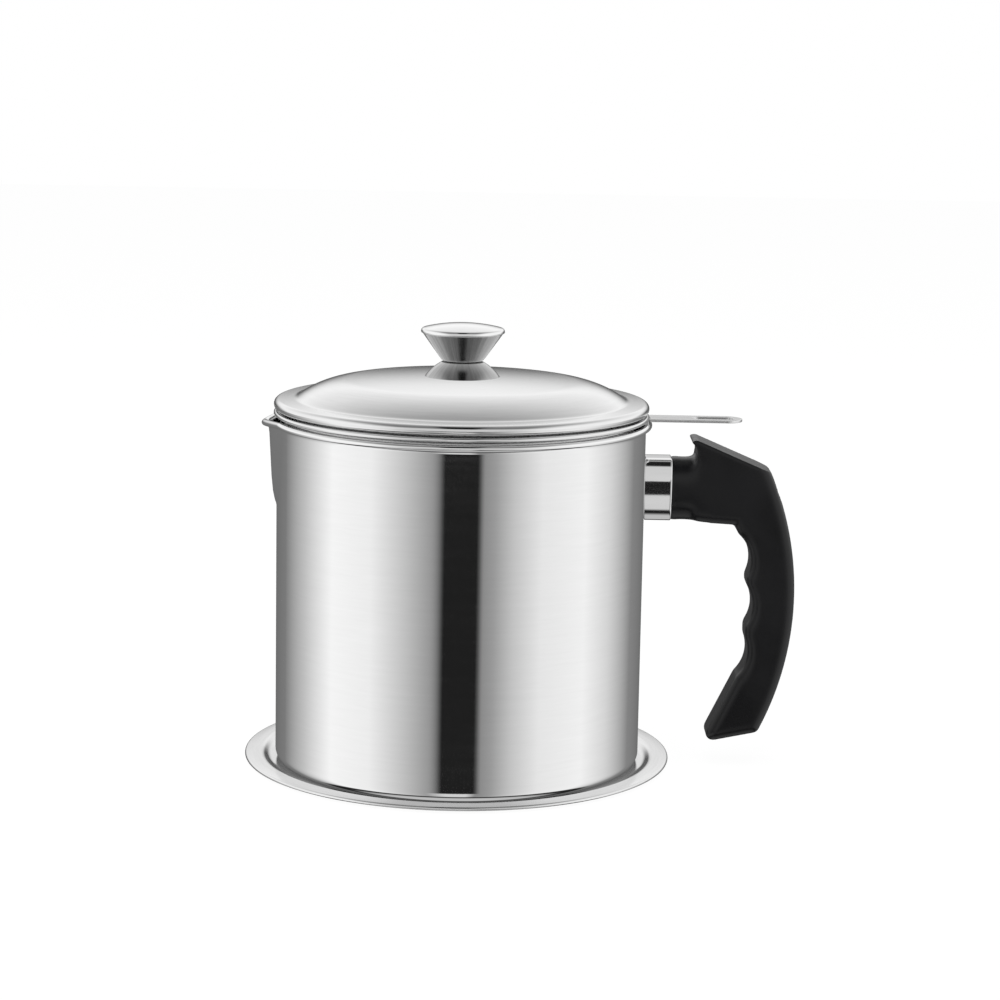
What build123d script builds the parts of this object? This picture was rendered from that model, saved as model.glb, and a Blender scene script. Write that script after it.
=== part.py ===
from build123d import *
import os
from math import acos, cos, degrees, radians, sin, sqrt, tan

# Strainer pot for kitchen grease: a drip tray, a drawn steel pot with a pressed
# pouring lip and a moulded side handle, a lift-out strainer and a knobbed lid.
# Millimetres, +Z up. The origin is the middle of the tray's underside, on the
# pot's axis. The pouring lip points to -X and the handle to +X.

# Clearances
seat_gap = 0.3
weld_gap = 0.05
slip_gap = 0.15
screw_play = 0.2

# Drip tray
tray_sheet = 0.5
tray_top = 2.2
tray_recess_play = 2.0
tray_slope = 2.0
tray_flange = 6.0
tray_bend = 1.0
tray_hem = 1.2
tray_hem_width = 2.4

# Pot
pot_radius = 60.0
pot_height = 113.0
pot_sheet = 0.6
pot_corner = 3.5
pot_foot_width = 9.0
pot_base_rise = 0.8
rim_half_width = 1.25
rim_half_height = 1.05
rim_stand_out = 0.75
rim_tuck = 0.3
rim_swell = 0.08

# Pouring lip, measured out from the pot's wall
lip_reach_low = 0.5
lip_reach_heel = 1.4
lip_reach_mid = 2.2
lip_reach_high = 3.0
lip_reach_mouth = 3.6
lip_depth = 28.0
lip_heel_height = 2.9
lip_mid_height = 9.5
lip_high_height = 23.5
lip_dip = 1.7
lip_nose = 5.0
lip_overlap = 0.5
lip_root = 8.0

# Handle fixing
fixing_drop = 20.9
ferrule_height = 21.3
ferrule_width = 17.0
ferrule_corner = 8.0
ferrule_length = 8.6
ferrule_wall = 0.8
saddle_sheet = 1.2
saddle_width = 11.0
saddle_height = 14.0
nut_radius = 4.4
nut_length = 4.6
screw_radius = 2.5
screw_head_radius = 4.4
screw_head_height = 3.0
washer_radius = 4.8
washer_sheet = 1.0

# Handle grip: reaches are measured out from the pot's wall, heights up and drops
# down from the fixing screw
grip_width = 16.4
grip_edge_round = 3.5
grip_back_reach = 49.8
grip_back_radius = 101.0
grip_middle_drop = 35.1
grip_heel_drop = 80.4
grip_toe_reach = 20.4
grip_toe_drop = 84.3
grip_corner_round = 2.2
grip_front_reach = 33.9
grip_front_low_drop = 56.5
grip_front_high_drop = 19.6
grip_crest_round = 4.0
groove_radius = 12.0
groove_drops = (53.2, 37.8, 23.2)
groove_reaches = (34.9, 36.1, 35.1)
armpit_reach = 29.3
armpit_drop = 11.1
shank_drop = 10.4
shank_step = 0.3
shank_length = 15.4
thumb_reach = 16.3
thumb_height = 17.0
thumb_slope = 20.8
nose_reach = 14.4
nose_height = 16.2
neck_reach = 16.6
neck_height = 12.8
shoulder_reach = 16.0
shoulder_height = 10.4
spigot_length = 6.0
screw_seat_reach = 37.0
screw_recess_depth = 1.6
screw_recess_width = 1.2

# Strainer
collar_wall = 0.6
collar_rise = 2.4
collar_drop = 9.0
bead_radius = 0.9
bead_stand_out = 1.1
clamp_wall = 0.6
clamp_height = 5.5
mesh_skin = 0.5
mesh_grip = 5.0
mesh_depth = 31.0
tab_sheet = 0.9
tab_lift = 0.3
tab_width = 11.0
tab_reach = 31.3
tab_slot_length = 13.5
tab_slot_width = 5.0
tab_end_margin = 2.8

# Lid
lid_sheet = 0.6
lid_curl = 1.8
lid_curl_stand_out = 0.1
lid_flange = 5.4
lid_dome_rise = 7.4
lid_crown_radius = 500.0
lid_shoulder_width = 16.8
band_wall = 0.6
band_drop = 7.0
band_play = 1.2

# Knob
knob_sheet = 0.6
knob_base_radius = 12.1
knob_neck_radius = 6.8
knob_base_height = 5.3
knob_skirt_bulge = 0.9
knob_groove = 0.5
knob_groove_radius = 6.1
knob_body_height = 8.3
knob_top_radius = 13.0
knob_cap_band = 1.1
knob_cap_rise = 3.5
knob_crown_radius = 56.0
knob_shoulder_width = 4.1
stem_radius = 4.0
stem_height = 6.4
knob_screw_radius = 2.0
knob_screw_grip = 4.2
knob_head_radius = 3.8
knob_head_height = 2.2
knob_washer_radius = 4.6
knob_washer_sheet = 0.6

# Heights and radii that follow from the sizes above
tray_recess_radius = pot_radius + tray_recess_play
tray_radius = tray_recess_radius + tray_slope + tray_flange
pot_bottom = tray_sheet
rim_height = pot_bottom + pot_height - rim_half_height
rim_radius = pot_radius + rim_stand_out
rim_top = rim_height + rim_half_height
fixing_height = rim_height - fixing_drop
saddle_face = pot_radius + weld_gap + saddle_sheet
grip_start = pot_radius + ferrule_length
screw_seat = pot_radius + screw_seat_reach
collar_outer = pot_radius - pot_sheet - seat_gap
collar_inner = collar_outer - collar_wall
collar_top = rim_top + collar_rise
collar_bottom = rim_top - collar_drop
bead_height = rim_top + seat_gap + bead_radius
mesh_outer = collar_inner - slip_gap
clamp_outer = mesh_outer - mesh_skin - slip_gap
curl_radius = collar_outer + lid_curl_stand_out
curl_height = collar_top + seat_gap + lid_curl
lid_top = curl_height + lid_curl
lid_dome_radius = curl_radius - lid_flange
lid_shoulder_start = lid_dome_radius - lid_shoulder_width
dome_top = lid_top + lid_dome_rise
knob_seat = dome_top - knob_base_radius**2 / (2 * lid_crown_radius) + weld_gap
knob_neck = knob_seat + knob_base_height
knob_body_bottom = knob_neck + weld_gap
knob_cone_bottom = knob_body_bottom + knob_groove
knob_cap_bottom = knob_cone_bottom + knob_body_height
knob_screw_top = knob_neck + knob_screw_grip + knob_groove


def sheet(path, thickness, side):
    """Closed section of bent sheet, from the line of one of its faces."""
    return make_face(offset(path, thickness, side=side))


def turned(section):
    """Spin a section drawn as (radius, height) about the pot's axis."""
    return revolve(Plane.XZ * section, Axis.Z)


def disc(radius, low, high):
    return Pos(0, 0, low) * Cylinder(radius, high - low, align=(Align.CENTER, Align.CENTER, Align.MIN))


def rod(radius, start, end):
    """Round bar along X on the line of the handle's fixing screw."""
    bar = Cylinder(radius, end - start, align=(Align.CENTER, Align.CENTER, Align.MIN))
    return Pos(start, 0, fixing_height) * Rot(0, 90, 0) * bar


def crowned(top, radius, shoulder, foot):
    """Half of a dome's outline: a shallow crown, then a rounded shoulder down to its foot."""
    fall = radius - sqrt(radius**2 - shoulder**2)
    half_fall = radius - sqrt(radius**2 - shoulder**2 / 4)
    crown = ThreePointArc((0, top), (shoulder / 2, top - half_fall), (shoulder, top - fall))
    return crown + TangentArc(crown @ 1, foot, tangent=crown % 1)


def drip_tray():
    top = tray_top - tray_hem / 2
    floor = FilletPolyline(
        (0, tray_sheet),
        (tray_recess_radius, tray_sheet),
        (tray_recess_radius + tray_slope, tray_top),
        (tray_radius - tray_hem / 2, tray_top),
        radius=tray_bend,
    )
    hem = CenterArc((tray_radius - tray_hem / 2, top), tray_hem / 2, 90, -180)
    fold = Line(hem @ 1, hem @ 1 - (tray_hem_width, 0))
    return turned(sheet(floor + hem + fold, tray_sheet, Side.RIGHT))


def lip_section(height, reach, inset):
    """Plan of the pouring lip at one height: two flanks that leave the wall, and a round nose."""
    wall = pot_radius - lip_overlap - inset
    spread = acos(wall / (pot_radius + reach - inset))
    nose = pot_radius + reach - inset
    shoulder = (-wall * cos(spread), wall * sin(spread))
    back = (shoulder[0] + lip_root * cos(spread), shoulder[1] - lip_root * sin(spread))
    plan = Polyline(
        back,
        shoulder,
        (-nose, 0),
        (shoulder[0], -shoulder[1]),
        (back[0], -back[1]),
        close=True,
    )
    face = make_face(plan)
    tip = face.vertices().sort_by(Axis.X)[0]
    return Pos(0, 0, height) * fillet(tip, lip_nose - inset)


def lip_form(inset):
    """The pressed lip as a solid: a low heel, a long channel and a flared mouth."""
    low = pot_bottom + pot_height - lip_depth + inset
    levels = [
        (low, lip_reach_low),
        (low + lip_heel_height, lip_reach_heel),
        (low + lip_mid_height, lip_reach_mid),
        (low + lip_high_height, lip_reach_high),
        (rim_height + rim_half_height, lip_reach_mouth),
    ]
    sections = [lip_section(height, reach, inset) for height, reach in levels]
    return loft(sections, ruled=True)


def pot_body():
    panel = pot_bottom + pot_base_rise
    foot_outer = pot_radius - pot_corner
    foot_inner = foot_outer - pot_foot_width
    outline = FilletPolyline(
        (0, panel),
        (foot_inner - pot_base_rise, panel),
        (foot_inner, pot_bottom),
        (pot_radius, pot_bottom),
        (pot_radius, rim_height),
        radius=(pot_sheet, pot_sheet, pot_corner),
    )
    shell = turned(sheet(outline, pot_sheet, Side.LEFT))
    hollow = disc(pot_radius - pot_sheet, pot_bottom + pot_corner, rim_top + rim_half_height)
    lip = lip_form(0) - lip_form(pot_sheet) - hollow
    throat = lip_form(pot_sheet)

    # The rolled rim runs round the pot and dips along the two flanks of the lip.
    tip_reach = rim_radius + lip_reach_mouth
    spread = acos(rim_radius / tip_reach)
    corner = rim_radius * cos(spread)
    half_mouth = rim_radius * sin(spread)
    rim_section = Pos(rim_radius, rim_height) * Ellipse(rim_half_width, rim_half_height)
    rim = revolve(Plane.XZ * rim_section, Axis.Z, 360 - 2 * degrees(spread))
    rim = Rot(0, 0, 180 + degrees(spread)) * rim
    run = sqrt((tip_reach - corner) ** 2 + lip_dip**2)
    incline = Plane(
        origin=(-corner, 0, rim_height),
        x_dir=(corner - tip_reach, 0, -lip_dip),
        z_dir=(-lip_dip, 0, tip_reach - corner),
    )
    tuck = rim_tuck * sin(spread)
    bend = incline * FilletPolyline(
        (-tuck, -half_mouth - rim_tuck),
        (run, 0),
        (-tuck, half_mouth + rim_tuck),
        radius=lip_nose,
    )
    lip_section_plane = Plane(origin=bend @ 0, z_dir=bend % 0, x_dir=(0, 0, 1))
    lip_rim = sweep(lip_section_plane * Ellipse(rim_half_height + rim_swell, rim_half_width + rim_swell), bend)
    above = incline * Box(rim_radius, rim_radius * 2, lip_depth, align=(Align.MIN, Align.CENTER, Align.MIN))
    return (shell - throat + lip) - above + rim + lip_rim


def handle_saddle():
    """Curved plate spot-welded to the pot's wall inside the ferrule."""
    plate = disc(saddle_face, fixing_height - saddle_height / 2, fixing_height + saddle_height / 2)
    plate = plate - disc(pot_radius + weld_gap, 0, rim_top)
    window = Pos(pot_radius, 0, fixing_height) * Box(pot_radius, saddle_width, saddle_height)
    return plate & window


def weld_nut():
    """Threaded nut on the saddle plate, as a plain bore at the thread's depth."""
    start = saddle_face + weld_gap
    nut = rod(nut_radius, start, start + nut_length)
    return nut - rod(screw_radius + weld_gap, start, start + nut_length)


def ferrule_section(inset):
    """Upright oval across the handle, seen along X."""
    face = RectangleRounded(
        ferrule_width - 2 * inset,
        ferrule_height - 2 * inset,
        ferrule_corner - inset,
    )
    return Plane.YZ * (Pos(0, fixing_height) * face)


def handle_ferrule():
    tube = extrude(ferrule_section(0) - ferrule_section(ferrule_wall), grip_start)
    return tube - disc(pot_radius + weld_gap, 0, rim_top)


def grip_back(height):
    """Reach of the bowed back at a height over the fixing screw."""
    rise = height + grip_middle_drop
    return grip_back_reach - grip_back_radius + sqrt(grip_back_radius**2 - rise**2)


def grip_side_view():
    """Side view of the grip: bowed back, sloping thumb rest, hooked nose and finger grooves."""
    thumb = (thumb_reach, thumb_height)
    brow_height = thumb_height - (grip_back(0) - thumb_reach) * tan(radians(thumb_slope))
    brow = (grip_back(brow_height), brow_height)
    heel = (grip_back(-grip_heel_drop), -grip_heel_drop)
    toe = (grip_toe_reach, -grip_toe_drop)
    nose = (nose_reach, nose_height)
    shoulder = (shoulder_reach, shoulder_height)
    outline = Line(toe, heel)
    outline += ThreePointArc(heel, (grip_back_reach, -grip_middle_drop), brow)
    outline += Polyline(brow, thumb, nose)
    outline += ThreePointArc(nose, (neck_reach, neck_height), shoulder)
    outline += Polyline(
        shoulder,
        (shoulder_reach, -shank_drop),
        (armpit_reach, -armpit_drop),
        (grip_front_reach, -grip_front_high_drop),
        (grip_front_reach, -grip_front_low_drop),
        toe,
    )
    view = make_face(outline)
    for drop, reach in zip(groove_drops, groove_reaches):
        groove = Pos(reach - groove_radius, -drop) * Circle(groove_radius)
        shank_side = Rectangle(armpit_reach, grip_toe_drop, align=(Align.MIN, Align.CENTER))
        view -= groove - Pos(0, -drop) * shank_side
    low_end = -grip_front_low_drop - grip_crest_round
    crests = view.vertices().filter_by(
        lambda v: abs(v.X - grip_front_reach) < grip_corner_round and low_end < v.Y < -grip_front_high_drop
    )
    view = fillet(crests, grip_crest_round)
    foot = [view.vertices().sort_by_distance(corner)[0] for corner in (heel, toe)]
    return fillet(foot, grip_corner_round)


def handle_grip():
    place = Plane.XZ * Pos(pot_radius, fixing_height)
    grip = extrude(place * grip_side_view(), grip_width / 2, both=True)
    sides = grip.faces().filter_by(Axis.Y).edges()
    free = sides.filter_by(lambda e: e.center().X > pot_radius + neck_reach + shank_step)
    brow = free.sort_by(Axis.Z)[-2:]
    soft = [e for e in free if e not in brow]
    grip = fillet(soft, grip_edge_round)
    shank = extrude(ferrule_section(shank_step), shank_length)
    spigot = extrude(ferrule_section(ferrule_wall + slip_gap), spigot_length)
    grip += Pos(grip_start, 0, 0) * shank
    grip += Pos(grip_start - spigot_length, 0, 0) * spigot
    pocket_floor = screw_seat - washer_sheet
    nut_end = saddle_face + nut_length
    grip -= rod(washer_radius + screw_play, pocket_floor, pot_radius + grip_back_reach)
    grip -= rod(screw_radius + screw_play, pot_radius, pocket_floor)
    return grip - rod(nut_radius + screw_play, pot_radius, nut_end + seat_gap)


def handle_washer():
    """Flat ring under the screw's head, on the floor of the pocket in the grip's back."""
    ring = rod(washer_radius, screw_seat - washer_sheet, screw_seat)
    return ring - rod(screw_radius + screw_play, pot_radius, screw_seat)


def cross_recess(width, depth):
    """Cross for the driver, cut down from the origin's plane."""
    slot = Box(width, width * 4, depth, align=(Align.CENTER, Align.CENTER, Align.MAX))
    return slot + Rot(0, 0, 90) * slot


def handle_screw():
    """Screw that draws the grip into its ferrule, let into the grip's back."""
    head_end = screw_seat + screw_head_height
    shaft = rod(screw_radius, saddle_face + weld_gap, screw_seat)
    head = rod(screw_head_radius, screw_seat, head_end)
    head = fillet(head.edges().sort_by(Axis.X)[-1], screw_head_height / 2)
    driver = Pos(head_end, 0, fixing_height) * Rot(0, 90, 0)
    return head + shaft - driver * cross_recess(screw_recess_width, screw_recess_depth)


def strainer_rim():
    """Folded steel collar that hangs in the pot, with the rolled bead that rests on its rim."""
    fold = Pos(0, bead_height) * Rectangle(
        collar_outer + collar_wall,
        collar_top - bead_height,
        align=(Align.MIN, Align.MIN),
    )
    collar = Pos(0, collar_bottom) * Rectangle(
        collar_outer,
        collar_top - collar_bottom,
        align=(Align.MIN, Align.MIN),
    )
    bead = Pos(collar_outer + bead_stand_out, bead_height) * Circle(bead_radius)
    section = fold + collar + bead - Rectangle(collar_inner * 2, collar_top * 3)
    return turned(section)


def strainer_mesh():
    """Fine mesh bowl as a closed skin of the mesh's thickness, with an upright edge to clamp."""
    edge = collar_bottom
    radius = (mesh_outer**2 + mesh_depth**2) / (2 * mesh_depth)
    middle = mesh_outer / 2
    sag = mesh_depth - radius + sqrt(radius**2 - middle**2)
    bowl = ThreePointArc((0, edge - mesh_depth), (middle, edge - sag), (mesh_outer, edge))
    upright = Line((mesh_outer, edge), (mesh_outer, edge + mesh_grip))
    return turned(sheet(bowl + upright, mesh_skin, Side.LEFT))


def strainer_clamp():
    """Inner band that pinches the mesh's edge against the collar."""
    return disc(clamp_outer, collar_bottom + weld_gap, collar_bottom + clamp_height) - disc(
        clamp_outer - clamp_wall, 0, rim_top
    )


def strainer_tab():
    """Flat tab on the strainer's bead, with a round end and a slot to hang it by."""
    level = rim_top + tab_lift
    end = pot_radius + tab_reach
    strip = Pos(0, 0, level) * Box(
        end - tab_width / 2,
        tab_width,
        tab_sheet,
        align=(Align.MIN, Align.CENTER, Align.MIN),
    )
    strip += Pos(end - tab_width / 2, 0, 0) * disc(tab_width / 2, level, level + tab_sheet)
    slot_middle = end - tab_end_margin - tab_slot_length / 2
    slot = Pos(slot_middle, 0, level) * extrude(SlotOverall(tab_slot_length, tab_slot_width), tab_sheet)
    bead_edge = collar_outer + bead_stand_out + bead_radius + weld_gap
    return strip - slot - disc(bead_edge, 0, dome_top)


def lid_shell():
    """Domed lid in one sheet: shallow crown, rounded shoulder, flat flange and rolled edge."""
    foot = (lid_dome_radius, lid_top)
    dome = crowned(dome_top, lid_crown_radius, lid_shoulder_start, foot)
    flange = Line(foot, (curl_radius, lid_top))
    curl = CenterArc((curl_radius, curl_height), lid_curl, 90, -270)
    shell = turned(sheet(dome + flange + curl, lid_sheet, Side.RIGHT))
    return shell - disc(knob_screw_radius + screw_play, 0, dome_top * 2)


def lid_band():
    """Upright band under the flange that keeps the lid in the strainer's collar."""
    outer = collar_inner - band_play
    flange = lid_top - lid_sheet
    return disc(outer, flange - band_drop, flange) - disc(outer - band_wall, 0, dome_top)


def knob_base():
    """Flared skirt of the knob, open below, with a flat top round the screw."""
    low = (knob_base_radius, knob_seat)
    high = (knob_neck_radius, knob_neck)
    middle = (
        (low[0] + high[0]) / 2 + knob_skirt_bulge * sin(radians(45)),
        (low[1] + high[1]) / 2 + knob_skirt_bulge * cos(radians(45)),
    )
    flare = ThreePointArc(low, middle, high)
    top = Line(high, (knob_screw_radius + screw_play, knob_neck))
    section = sheet(flare + top, knob_sheet, Side.LEFT)
    below = Rectangle(knob_base_radius * 3, knob_seat, align=(Align.CENTER, Align.MIN))
    return turned(section - below)


def knob_body():
    """Spun cone that widens upwards from the neck, open at the top under the cap."""
    outline = Polyline(
        (knob_screw_radius + screw_play, knob_body_bottom),
        (knob_groove_radius, knob_body_bottom),
        (knob_groove_radius, knob_cone_bottom),
        (knob_neck_radius, knob_cone_bottom),
        (knob_top_radius, knob_cap_bottom),
        (knob_top_radius, knob_cap_bottom + knob_cap_band - knob_sheet),
        (knob_top_radius - knob_sheet, knob_cap_bottom + knob_cap_band - knob_sheet),
        (knob_top_radius - knob_sheet, knob_cap_bottom),
        (knob_neck_radius - knob_sheet, knob_cone_bottom + knob_sheet),
        (knob_screw_radius + screw_play, knob_cone_bottom + knob_sheet),
        close=True,
    )
    return turned(make_face(outline))


def knob_stem():
    """Threaded bush on the floor of the knob's body."""
    floor = knob_cone_bottom + knob_sheet
    return disc(stem_radius, floor, floor + stem_height) - disc(knob_screw_radius + weld_gap, 0, dome_top * 2)


def knob_cap():
    """Domed cap pressed over the rim of the knob's body."""
    outer = knob_top_radius + weld_gap + knob_sheet
    edge = knob_cap_bottom + knob_cap_band
    dome = crowned(edge + knob_cap_rise, knob_crown_radius, outer - knob_shoulder_width, (outer, edge))
    band = Line((outer, edge), (outer, knob_cap_bottom + weld_gap))
    return turned(sheet(dome + band, knob_sheet, Side.RIGHT))


def knob_washer():
    top = dome_top - lid_sheet - weld_gap
    return disc(knob_washer_radius, top - knob_washer_sheet, top) - disc(
        knob_screw_radius + screw_play, 0, dome_top
    )


def knob_screw():
    seat = dome_top - lid_sheet - weld_gap - knob_washer_sheet
    head = disc(knob_head_radius, seat - knob_head_height, seat)
    head = fillet(head.edges().sort_by(Axis.Z)[0], knob_head_height / 2)
    shaft = disc(knob_screw_radius, seat, knob_screw_top)
    driver = Pos(0, 0, seat - knob_head_height) * Rot(180, 0, 0)
    return head + shaft - driver * cross_recess(screw_recess_width, knob_head_height / 2)


if __name__ == "__main__":
    os.makedirs("parts", exist_ok=True)
    pieces = (
        drip_tray,
        pot_body,
        handle_saddle,
        weld_nut,
        handle_ferrule,
        handle_grip,
        handle_washer,
        handle_screw,
        strainer_rim,
        strainer_mesh,
        strainer_clamp,
        strainer_tab,
        lid_shell,
        lid_band,
        knob_base,
        knob_body,
        knob_stem,
        knob_cap,
        knob_washer,
        knob_screw,
    )
    for piece in pieces:
        export_step(piece(), f"parts/{piece.__name__}.step")
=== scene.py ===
import bpy, bmesh
from math import acos, atan2, copysign, cos, degrees, hypot, pi, radians, sin, sqrt
from mathutils import Matrix, Vector


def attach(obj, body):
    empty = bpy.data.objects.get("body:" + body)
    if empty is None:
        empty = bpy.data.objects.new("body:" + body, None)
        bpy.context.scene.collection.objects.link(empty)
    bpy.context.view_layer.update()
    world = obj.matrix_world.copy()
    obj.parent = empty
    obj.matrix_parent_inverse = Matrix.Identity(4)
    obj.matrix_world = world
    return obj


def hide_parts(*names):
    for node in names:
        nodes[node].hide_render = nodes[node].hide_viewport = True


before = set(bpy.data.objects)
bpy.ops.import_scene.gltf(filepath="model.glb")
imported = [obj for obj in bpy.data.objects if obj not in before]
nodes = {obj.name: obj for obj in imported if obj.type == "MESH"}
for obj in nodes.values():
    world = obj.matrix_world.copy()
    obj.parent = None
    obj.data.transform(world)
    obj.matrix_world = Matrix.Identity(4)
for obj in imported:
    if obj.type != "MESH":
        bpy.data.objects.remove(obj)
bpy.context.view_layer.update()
scene = bpy.context.scene
mm = 0.001
white = (1, 1, 1, 1)
print("frame loaded with", len(nodes), "nodes")

studio = {
    "cameraPlace": (12.946, -902.62, 242.66),  # mm
    "cameraDown": 9.82,  # degrees below the horizon
    "cameraRoll": 1.02,
    "lens": 100.8,  # mm, on a sensor of the width below
    "sensor": 36,
    "farEnd": 50,  # metres
    "floorSize": 6.0,  # metres
    "floorWhite": 1.05,
    "floorGlow": 0.9,  # how much of the floor's white is the backdrop's, the rest takes the shadow
    "fill": 0.45,  # what the white room adds to the lamps
    "lamps": {  # place and aim in metres, size, watts
        "overheadSoftBox": ((-0.2, -0.3, 1.3), (0, 0, 0.05), (1.4, 1.4), 9),
        "leftSoftBox": ((-1.3, -0.7, 0.7), (0, 0, 0.07), (1.0, 1.2), 5),
        "rightSoftBox": ((1.3, -0.5, 0.6), (0, 0, 0.07), (1.0, 1.2), 4),
    },
}


def placed(name, data):
    thing = bpy.data.objects.new(name, data)
    scene.collection.objects.link(thing)
    return thing


cameraData = bpy.data.cameras.new("productCamera")
cameraData.lens = studio["lens"]
cameraData.sensor_width = studio["sensor"]
cameraData.clip_end = studio["farEnd"]
camera = placed("productCamera", cameraData)
down = Matrix.Rotation(radians(90 - studio["cameraDown"]), 4, "X")
roll = Matrix.Rotation(radians(studio["cameraRoll"]), 4, "Z")
camera.matrix_world = Matrix.Translation(Vector(studio["cameraPlace"]) * mm) @ down @ roll
scene.camera = camera


def linear(hexColour):
    channels = [int(hexColour[i:i + 2], 16) / 255 for i in (1, 3, 5)]
    return [c / 12.92 if c <= 0.04045 else ((c + 0.055) / 1.055) ** 2.4 for c in channels] + [1.0]


def add(tree, kind, settings=None, **links):
    # one node: settings are its properties, socket values or colour stops; links feed its sockets (spaces as _), each
    # with a socket or with a node's first output
    node = tree.nodes.new(kind)
    for key, value in (settings or {}).items():
        if key == "stops":
            marks = node.color_ramp.elements
            while len(marks) < len(value):
                marks.new(0.5)
            for mark, (place, colour) in zip(marks, value):
                mark.position, mark.color = place, linear(colour)
        elif isinstance(key, str) and hasattr(node, key):
            setattr(node, key, value)
        else:
            node.inputs[key].default_value = value
    for key, source in links.items():
        byNumber = key.startswith("in") and key[2:].isdigit()
        socket = node.inputs[int(key[2:]) if byNumber else key.replace("_", " ")]
        tree.links.new(source.outputs[0] if hasattr(source, "outputs") else source, socket)
    return node


def newMaterial(name):
    # an empty material and the object's own coordinates, in which every pattern is laid out in real mm
    material = bpy.data.materials.new(name)
    material.use_nodes = True
    tree = material.node_tree
    tree.nodes.clear()
    return material, tree, add(tree, "ShaderNodeTexCoord").outputs["Object"]


def seenStraight(tree):
    # 1 for what the camera sees, also in a mirror or through glass, and 0 for the light that falls on things
    ray = add(tree, "ShaderNodeLightPath").outputs
    most = {"operation": "MAXIMUM"}
    seen = add(tree, "ShaderNodeMath", most, in0=ray["Is Camera Ray"], in1=ray["Is Glossy Ray"])
    return add(tree, "ShaderNodeMath", most, in0=seen, in1=ray["Is Transmission Ray"])


# pale background paper, matt and faintly fibrous: white to the eye, but it still takes the object's shadow
def paperFloor():
    material, tree, place = newMaterial("paleStudioPaper")
    fibre = add(tree, "ShaderNodeTexNoise", {"Scale": 1 / (2.5 * mm), "Detail": 3.0}, Vector=place)
    tone = add(tree, "ShaderNodeValToRGB", {"stops": [(0.3, "#F4F4F4"), (0.7, "#F8F8F8")]}, Fac=fibre)
    paper = add(tree, "ShaderNodeBsdfDiffuse", Color=tone)
    glow = add(tree, "ShaderNodeEmission", {"Color": white, "Strength": studio["floorWhite"]})
    share = add(tree, "ShaderNodeMath", {"operation": "MULTIPLY", 1: studio["floorGlow"]}, in0=seenStraight(tree))
    mix = add(tree, "ShaderNodeMixShader", in0=share, in1=paper, in2=glow)
    add(tree, "ShaderNodeOutputMaterial", Surface=mix)
    return material


floorMesh = bpy.data.meshes.new("floor")
half = studio["floorSize"] / 2
floorMesh.from_pydata([(-half, -half, 0), (half, -half, 0), (half, half, 0), (-half, half, 0)], [], [(0, 1, 2, 3)])
floorMesh.materials.append(paperFloor())
floor = placed("floor", floorMesh)
floor.visible_glossy = False  # the steel looks into the tent instead, as it would on a narrow shooting table

# What the polished steel sees: a cloth tent with bright sides, a grey back, a darker strip over the front of the
# roof, a pale table with dark ground past it and a dark window where the camera stands.
tent = {
    "radius": 2.6,  # metres
    "facets": (48, 24),
    "glow": 1.2,
    "walls": [  # degrees round from the camera, left negative
        (-180, "#585858"), (-137, "#7C7C7C"), (-110, "#C6C6C6"), (-84, "#FFFFFF"), (-55, "#F6F6F6"), (-32, "#C8C8C8"),
        (-18, "#A2A2A2"), (-6, "#D8D8D8"), (7, "#D8D8D8"), (13, "#8A8A8A"), (22, "#A0A0A0"), (34, "#CACACA"),
        (52, "#EEEEEE"), (84, "#FAFAFA"), (106, "#DCDCDC"), (136, "#868686"), (180, "#585858"),
    ],
    "window": [(-18, "#000000"), (-9, "#FFFFFF"), (12, "#FFFFFF"), (15, "#000000")],  # white where it opens
    "windowGrey": "#202020",
    "groundGrey": "#202020",
    "tableGrey": "#C4C4C4",
    "roof": [  # degrees over the top, from the horizon at the back to the one behind the camera
        (0, "#3C3C3C"), (3, "#545454"), (5.5, "#7A7A7A"), (8, "#9E9E9E"), (11, "#C8C8C8"), (15, "#ECECEC"),
        (20, "#FAFAFA"), (40, "#E8E8E8"), (58, "#CCCCCC"), (78, "#A0A0A0"), (92, "#8A8A8A"), (110, "#7C7C7C"),
        (126, "#7C7C7C"), (134, "#A8A8A8"), (142, "#D4D4D4"), (180, "#D8D8D8"),
    ],
    "heights": {  # metres: each edge fades from the first to the second, from the floor up
        "table": (-2.45, -2.1), "ground": (-1.95, -1.75), "windowLow": (-0.82, -0.76), "windowHigh": (-0.245, -0.215),
        "eaves": (-0.05, 0.05),
    },
    "boom": [(82, "#000000"), (94, "#FFFFFF"), (132, "#FFFFFF"), (140, "#000000")],  # white where it hangs
    "boomWidth": (0.10, 0.20),  # a dark boom hangs along the middle of the roof, shares of the radius
    "whiteSides": (0.45, 0.9),  # the roof turns white towards both sides, as a share of the radius
}


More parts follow.
